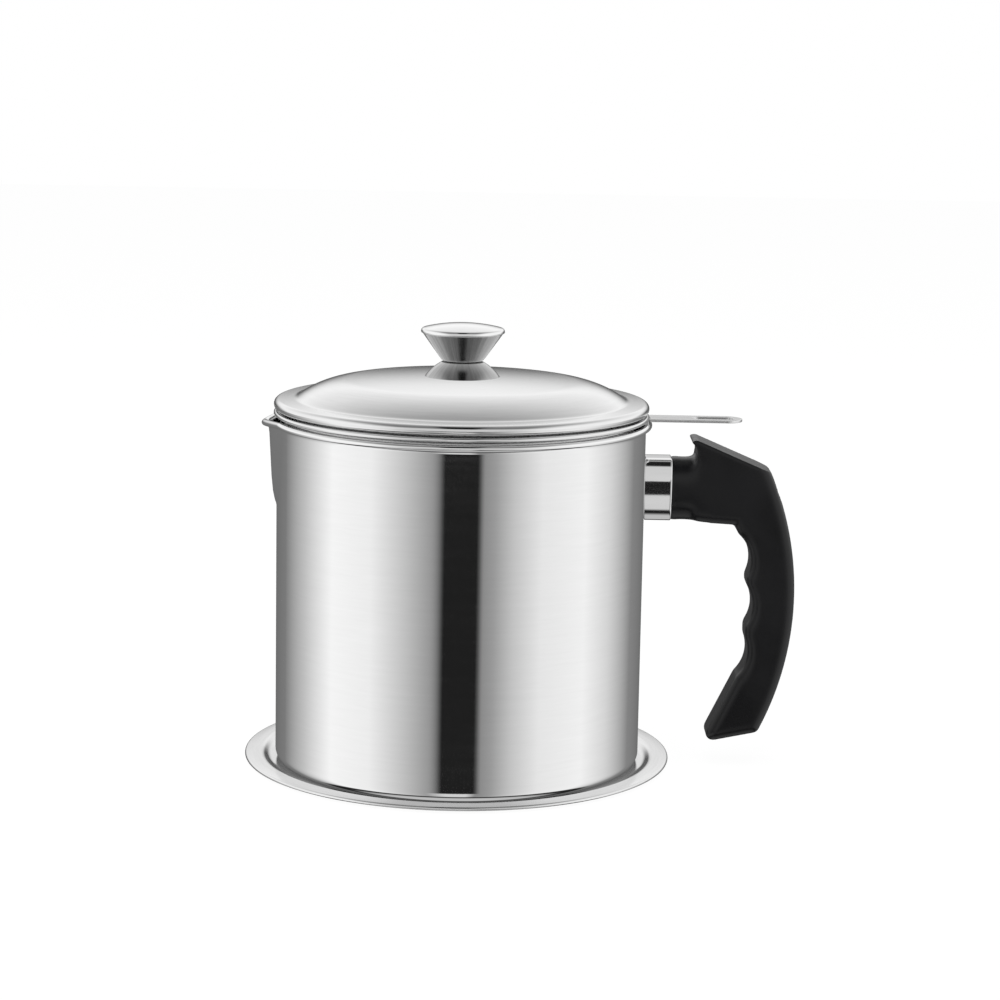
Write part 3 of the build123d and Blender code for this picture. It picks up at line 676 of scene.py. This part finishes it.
def weaveTree():
    # wires one way over a bowl; the other way is the same tree with its phase and turn changed
    tree = bpy.data.node_groups.new("weaveWires", "GeometryNodeTree")
    face = tree.interface
    for name, value in (
        ("Bowl Radius", 0.058), ("Bowl Depth", 0.031), ("Edge Height", 0.1045), ("Pitch", 0.002), ("Wire", 0.0004),
        ("Phase", 0.0), ("Turn", 0.0),
    ):
        face.new_socket(name, in_out="INPUT", socket_type="NodeSocketFloat").default_value = value
    face.new_socket("Finish", in_out="INPUT", socket_type="NodeSocketMaterial")
    face.new_socket("Wires", in_out="OUTPUT", socket_type="NodeSocketGeometry")
    given = add(tree, "NodeGroupInput").outputs
    ends = add(tree, "GeometryNodeInputMeshEdgeVertices").outputs
    place = add(tree, "GeometryNodeInputPosition")
    known = {name: given[name] for name in ("Bowl Radius", "Bowl Depth", "Edge Height", "Pitch", "Wire", "Phase")}
    for name, source in (("", place), (" one", ends["Position 1"]), (" two", ends["Position 2"])):
        parts = add(tree, "ShaderNodeSeparateXYZ", Vector=source)
        known["x" + name], known["y" + name] = parts.outputs["X"], parts.outputs["Y"]
    sums = (
        ("half", "DIVIDE", "Bowl Radius", "Pitch"),
        ("half", "FLOOR", "half"),
        ("wires", "MULTIPLY_ADD", "half", 2.0, 1.0),
        ("steps", "MULTIPLY_ADD", "half", 4.0, 1.0),
        ("width", "MULTIPLY", "half", "Pitch"),
        ("width", "MULTIPLY", "width", 2.0),
        ("gap", "SUBTRACT", "x one", "x two"),
        ("gap", "ABSOLUTE", "gap"),
        ("square", "MULTIPLY", "x", "x"),
        ("square", "MULTIPLY_ADD", "y", "y", "square"),
        ("distance", "SQRT", "square"),
        # radius of the ball that the bowl is cut from, and the bowl's height over each point
        ("ball", "MULTIPLY", "Bowl Radius", "Bowl Radius"),
        ("ball", "MULTIPLY_ADD", "Bowl Depth", "Bowl Depth", "ball"),
        ("ball", "DIVIDE", "ball", "Bowl Depth"),
        ("ball", "MULTIPLY", "ball", 0.5),
        ("fall", "MULTIPLY", "ball", "ball"),
        ("fall", "SUBTRACT", "fall", "square"),
        ("fall", "MAXIMUM", "fall", 0.0),
        ("fall", "SQRT", "fall"),
        ("level", "SUBTRACT", "Edge Height", "Bowl Depth"),
        ("level", "ADD", "level", "ball"),
        ("level", "SUBTRACT", "level", "fall"),
        # over and under: the wave's sign changes from wire to wire
        ("number", "DIVIDE", "x", "Pitch"),
        ("number", "ROUND", "number"),
        ("wave", "DIVIDE", "y", "Pitch"),
        ("wave", "ADD", "wave", "number"),
        ("wave", "ADD", "wave", "Phase"),
        ("wave", "MULTIPLY", "wave", pi),
        ("wave", "COSINE", "wave"),
        ("wave", "MULTIPLY", "wave", "Wire"),
        ("level", "MULTIPLY_ADD", "wave", 0.5, "level"),
        ("thin", "MULTIPLY", "Wire", 0.5),
    )
    for name, operation, *sources in sums:
        numbers = {i: value for i, value in enumerate(sources) if not isinstance(value, str)}
        fed = {"in" + str(i): known[value] for i, value in enumerate(sources) if isinstance(value, str)}
        known[name] = add(tree, "ShaderNodeMath", {"operation": operation, **numbers}, **fed)
    width, wires, steps = known["width"], known["wires"], known["steps"]
    grid = add(tree, "GeometryNodeMeshGrid", Size_X=width, Size_Y=width, Vertices_X=wires, Vertices_Y=steps)
    # keep only the grid's edges along Y, and of those the part inside the bowl
    more = {"data_type": "FLOAT", "operation": "GREATER_THAN"}
    cross = add(tree, "FunctionNodeCompare", {**more, 1: 0.01 * mm}, in0=known["gap"])
    outside = add(tree, "FunctionNodeCompare", more, in0=known["distance"], in1=given["Bowl Radius"])
    lines = add(tree, "GeometryNodeDeleteGeometry", {"domain": "FACE", "mode": "ONLY_FACE"}, Geometry=grid)
    for domain, mode, out in (("EDGE", "EDGE_FACE", cross), ("POINT", "ALL", outside)):
        which = {"domain": domain, "mode": mode}
        lines = add(tree, "GeometryNodeDeleteGeometry", which, Geometry=lines, Selection=out)
    spot = add(tree, "ShaderNodeCombineXYZ", X=known["x"], Y=known["y"], Z=known["level"])
    turned = add(tree, "ShaderNodeVectorRotate", {"rotation_type": "Z_AXIS"}, Vector=spot, Angle=given["Turn"])
    bent = add(tree, "GeometryNodeSetPosition", Geometry=lines, Position=turned)
    curves = add(tree, "GeometryNodeMeshToCurve", Mesh=bent)
    ring = add(tree, "GeometryNodeCurvePrimitiveCircle", {"Resolution": 5}, Radius=known["thin"])
    tubes = add(tree, "GeometryNodeCurveToMesh", {"Fill Caps": True}, Curve=curves, Profile_Curve=ring)
    real = add(tree, "GeometryNodeRealizeInstances", Geometry=tubes)
    painted = add(tree, "GeometryNodeSetMaterial", Geometry=real, Material=given["Finish"])
    add(tree, "NodeGroupOutput", Wires=painted)
    return tree


weave = weaveTree()
bowl = {
    "Bowl Radius": strainer["meshRadius"] * mm, "Bowl Depth": strainer["meshDepth"] * mm, "Finish": drawnWire,
    "Edge Height": (strainer["collarBottom"] + strainer["meshUp"]) * mm,
    "Pitch": strainer["pitch"] * mm, "Wire": strainer["wire"] * mm,
}
for name, turn, phase in (("strainerWarp", 0.0, 0.0), ("strainerWeft", pi / 2, 1.0)):
    wires = applied(name, bpy.data.meshes.new(name + "Base"), weave, {**bowl, "Phase": phase, "Turn": turn})
    outwards(wires.data)
    wires.data.polygons.foreach_set("use_smooth", [True] * len(wires.data.polygons))
    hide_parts("strainer_mesh")
    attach(wires, "strainer")
print("strainer woven")


tab = {
    "reach": 91.3, "width": 11.0, "root": 61.15, "level": 113.8, "sheet": 0.9, "slotEnd": 88.5, "slotLength": 13.5,
    "slotWidth": 5.0, "edge": 0.22, "rows": (82, 78, 74, 68), "rootRow": 3,
}


def makeTab():
    wide, slotWide = tab["width"] / 2, tab["slotWidth"] / 2
    root = [(sqrt(tab["root"] ** 2 - y ** 2), y) for y in (-wide, -tab["rootRow"], 0, tab["rootRow"], wide)]
    outer = [(x, -wide) for x in tab["rows"]] + root + [(x, wide) for x in tab["rows"][::-1]]
    outer += arc((tab["reach"] - wide, 0), wide, 90, -180, 28)
    inner = arc((tab["slotEnd"] - slotWide, 0), slotWide, -90, 180, 20)
    inner += arc((tab["slotEnd"] - tab["slotLength"] + slotWide, 0), slotWide, 90, 180, 20)
    shape = bmesh.new()
    rims = []
    for loop in (outer, inner):
        corners = [shape.verts.new((x * mm, y * mm, tab["level"] * mm)) for x, y in loop]
        rims += [shape.edges.new((corners[i - 1], corners[i])) for i in range(len(corners))]
    bmesh.ops.triangle_fill(shape, edges=rims, use_beauty=True)
    bmesh.ops.recalc_face_normals(shape, faces=shape.faces)
    raised = bmesh.ops.extrude_face_region(shape, geom=shape.faces[:])["geom"]
    raised = [part for part in raised if isinstance(part, bmesh.types.BMVert)]
    bmesh.ops.translate(shape, verts=raised, vec=(0, 0, tab["sheet"] * mm))
    bmesh.ops.recalc_face_normals(shape, faces=shape.faces)
    mesh = bpy.data.meshes.new("strainerTabPlate")
    shape.to_mesh(mesh)
    shape.free()
    mesh.materials.append(brushedTab)
    piece = placed("strainerTabPlate", mesh)
    rounding = piece.modifiers.new("rounding", "BEVEL")
    rounding.width = tab["edge"] * mm
    rounding.segments = 3
    rounding.limit_method = "ANGLE"
    rounding.angle_limit = radians(50)
    rounding.harden_normals = True
    return piece


tabPiece = makeTab()
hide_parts("strainer_tab")
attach(tabPiece, "strainer")
print("tab made")


lid = {
    "top": 119.8, "domeTop": 127.2, "crown": 500.0, "shoulder": 37.0, "domeFoot": 53.8, "sheet": 0.6,
    "flangeDrop": 0.35, "bend": 0.8, "curlMiddle": 59.25, "curlHeight": 117.75, "curl": 1.7, "curlTurn": (90, -262),
}


def makeLid():
    foot = (lid["domeFoot"], lid["top"])
    dome = crowned(lid["domeTop"], lid["crown"], lid["shoulder"], foot)
    face = joined([dome, [foot, (lid["curlMiddle"], lid["top"] - lid["flangeDrop"])]], lid["bend"])
    curl = arc((lid["curlMiddle"], lid["curlHeight"]), lid["curl"], *lid["curlTurn"], 30)
    section = thickened(face + [Vector(p) for p in curl[1:]], lid["sheet"], -1, openStart=True)
    return spun("lidShellSheet", section, satinLid, closed=False, segments=224)


lidPiece = makeLid()
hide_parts("lid_shell")
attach(lidPiece, "lid")


knob = {
    "seat": 127.104, "skirt": 12.1, "bulge": 0.4, "neck": 6.8, "neckHeight": 131.75, "sheet": 0.6, "bore": 2.2,
    "midRow": 3.6, "neckBend": 0.12, "coneBottom": 132.3, "groove": 6.0, "rim": 13.1, "rimHeight": 141.15,
    "segments": 128,
    # the cone's rim, in steps out and up from it
    "rimBead": ((-0.12, -0.17), (0, 0), (-0.02, 0.15), (-0.18, 0.27), (-0.6, 0.3), (-0.6, 0.6), (-1.2, 0.6), (-1.2, 0)),
    "capEdge": 141.6, "capReach": 13.6, "capBand": 0.35, "capLean": 8.0, "capRound": 1.0, "capTilt": 14.0,
}


def makeKnob():
    bore, neck, rim, sheet, count = (knob[name] for name in ("bore", "neck", "rim", "sheet", "segments"))
    low, high = (knob["skirt"], knob["seat"]), (neck, knob["neckHeight"])
    flare = []
    for t in [i / 16 for i in range(17)]:
        swell = knob["bulge"] * 4 * t * (1 - t) * 0.7  # stands square to the slope
        flare.append([a * (1 - t) + b * t + swell for a, b in zip(low, high)])
    top = [high, (knob["midRow"], high[1]), (bore, high[1])]
    skirt = spun("knobSkirt", thickened(joined([flare, top], knob["neckBend"]), sheet, 1), brushedKnobPaintedShade, segments=count)
    low, high, groove = knob["coneBottom"], knob["rimHeight"], knob["groove"]
    cone = [(bore, low - 0.5), (groove - 0.1, low - 0.5), (groove, low - 0.3), (groove, low)]
    cone += [(neck - 0.15, low), (neck + 0.05, low + 0.12)]
    cone += [(neck + (rim - neck) * i / 9, low + (high - low) * i / 9) for i in range(1, 9)]
    cone += [(rim + out, high + up) for out, up in knob["rimBead"]] + [(neck - 0.6, low + 0.6), (bore, low + 0.6)]
    body = spun("knobCone", cone, brushedConePaintedShade, segments=count)
    # the seam between skirt and cone gets a painted shade, near-black, for the shadow in its groove
    for piece, finish, reach in ((skirt, brushedKnobPaintedShade, neck + 0.05), (body, brushedConePaintedShade, neck)):
        piece.data.materials.clear()
        for layer in (finish, paintedSeamShade):
            piece.data.materials.append(layer)
        for face in piece.data.polygons:
            place = face.center / mm
            inSeam = knob["neckHeight"] - 0.14 < place.z < low + 0.05
            face.material_index = int(inSeam and hypot(place.x, place.y) < reach)
    # cap: shallow crown, round shoulder, and a short band that leans in over the cone
    bend, lean, tilt = knob["capRound"], radians(knob["capLean"]), radians(knob["capTilt"])
    end = Vector((knob["capReach"], knob["capEdge"]))
    edge = end + knob["capBand"] * Vector((-sin(lean), cos(lean)))
    centre = edge - bend * Vector((cos(lean), sin(lean)))
    crown = (centre.x + bend * sin(tilt)) / sin(tilt)
    top = centre.y + bend * cos(tilt) + crown * (1 - cos(tilt))
    line = [(crown * sin(tilt * i / 12), top - crown * (1 - cos(tilt * i / 12))) for i in range(13)]
    line += arc(centre, bend, 90 - knob["capTilt"], knob["capTilt"] + knob["capLean"] - 90, 20)[1:]
    section = thickened(line + [edge.lerp(end, 0.3), end], sheet, -1, openStart=True)
    cap = spun("knobCapDome", section, polishedCap, closed=False, segments=count)
    return skirt, body, cap


for piece, node in zip(makeKnob(), ("knob_base", "knob_body", "knob_cap")):
    piece.visible_glossy = False  # the satin lid stays clear of its knob's mirror image
    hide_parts(node)
    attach(piece, "lid")
print("lid and knob made")


ferrule = {
    "width": 17.0, "height": 20.5, "squareness": 7.0, "bulge": 0.24, "bulgeRise": 1.6, "wall": 0.8, "level": 91.55,
    "end": 68.6, "wallRadius": 60.05,
    # the tube's loops: inset from the outside, and place from the pot's wall or back from the free end
    "wallEdge": ((0.25, 0.0), (0.08, 0.08), (0.0, 0.25), (0.0, 0.6), (0.0, 2.0)),
    "freeEdge": ((0.0, 2.0), (0.0, 0.7), (0.0, 0.32), (0.1, 0.09), (0.32, 0.0), (0.6, 0.0)),
}


def ovalPoints(inset, count=160):
    # a tall section with gently bulged sides and tight corners
    ring = []
    wide, high, power = ferrule["width"] / 2 - inset, ferrule["height"] / 2 - inset, 2 / ferrule["squareness"]
    for i in range(count):
        turn = 2 * pi * (i + 0.5) / count
        z = high * copysign(abs(sin(turn)) ** power, sin(turn))
        waist = 1 - ferrule["bulge"] * ((z - ferrule["bulgeRise"]) / high) ** 2
        ring.append((wide * waist * copysign(abs(cos(turn)) ** power, cos(turn)), z))
    return ring


def makeFerrule():
    wall = ferrule["wall"]
    loops = [(inset, place, 0) for inset, place in ferrule["wallEdge"]]
    loops += [(inset, place, 1) for inset, place in ferrule["freeEdge"] + ((wall, 0.2), (wall, 2.0))]
    loops += [(wall, 0.3, 0), (0.55, 0.0, 0)]
    rows = []
    for inset, place, free in loops:
        row = []
        for y, z in ovalPoints(inset):
            x = ferrule["end"] - place if free else sqrt(ferrule["wallRadius"] ** 2 - y ** 2) + place
            row.append((x, y, ferrule["level"] + z))
        rows.append(row)
    return skinned("handleFerruleTube", rows, True, polishedFerrule)


ferrulePiece = makeFerrule()
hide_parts("handle_ferrule")
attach(ferrulePiece, "pot")
print("ferrule made")


# the frame's grip, remeshed evenly so its moulded edges run soft into each other
grip = {
    "voxel": 0.5, "softAll": 3, "softShank": 40, "shankEnd": 76.0, "shankReach": 5.5, "level": 91.55, "shankHigh": 11.5,
    "core": 6,
}


def softened(shape, verts, times):
    for step in range(times):
        bmesh.ops.smooth_vert(shape, verts=verts, factor=0.5, use_axis_x=True, use_axis_y=True, use_axis_z=True)


def makeGrip():
    mesh = nodes["handle_grip"].data.copy()
    shape = bmesh.new()
    shape.from_mesh(mesh)
    bmesh.ops.remove_doubles(shape, verts=shape.verts, dist=1e-6)
    shape.to_mesh(mesh)
    shape.free()
    carrier = placed("gripBase", mesh)
    even = carrier.modifiers.new("even", "REMESH")
    even.mode = "VOXEL"
    even.voxel_size = grip["voxel"] * mm
    even.use_smooth_shade = True
    piece = baked("handleGripMoulding", carrier)
    shape = bmesh.new()
    shape.from_mesh(piece.data)
    softened(shape, shape.verts, grip["softAll"])
    # the oval shank runs into the hand part without a step
    near = []
    for vert in shape.verts:
        out, side, up = vert.co.x / mm - grip["shankEnd"], vert.co.y / mm, vert.co.z / mm - grip["level"]
        if abs(out) < grip["shankReach"] and abs(up) < grip["shankHigh"] and hypot(side, up) > grip["core"]:
            near.append(vert)
    softened(shape, near, grip["softShank"])
    for polygon in shape.faces:
        polygon.smooth = True
    shape.to_mesh(piece.data)
    shape.free()
    piece.data.materials.clear()
    piece.data.materials.append(blackGrip)
    return piece


gripPiece = makeGrip()
gripPiece.visible_glossy = False  # the polished wall stays clear of its mirror image
ferrulePiece.visible_glossy = False  # and of this one
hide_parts("handle_grip")
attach(gripPiece, "pot")
print("grip made")


# the parts that keep their shape from the frame: plated fixings and stamped bands
fixings = ("weld_nut", "handle_washer", "handle_screw", "knob_stem", "knob_washer", "knob_screw")
for names, finish in ((fixings, zincPlate), (("handle_saddle", "strainer_clamp", "lid_band"), brushedCollar)):
    for name in names:
        nodes[name].data.materials.clear()
        nodes[name].data.materials.append(finish)
for name in fixings + ("handle_saddle",):
    nodes[name].visible_glossy = False
print("finishes given to the plain parts")
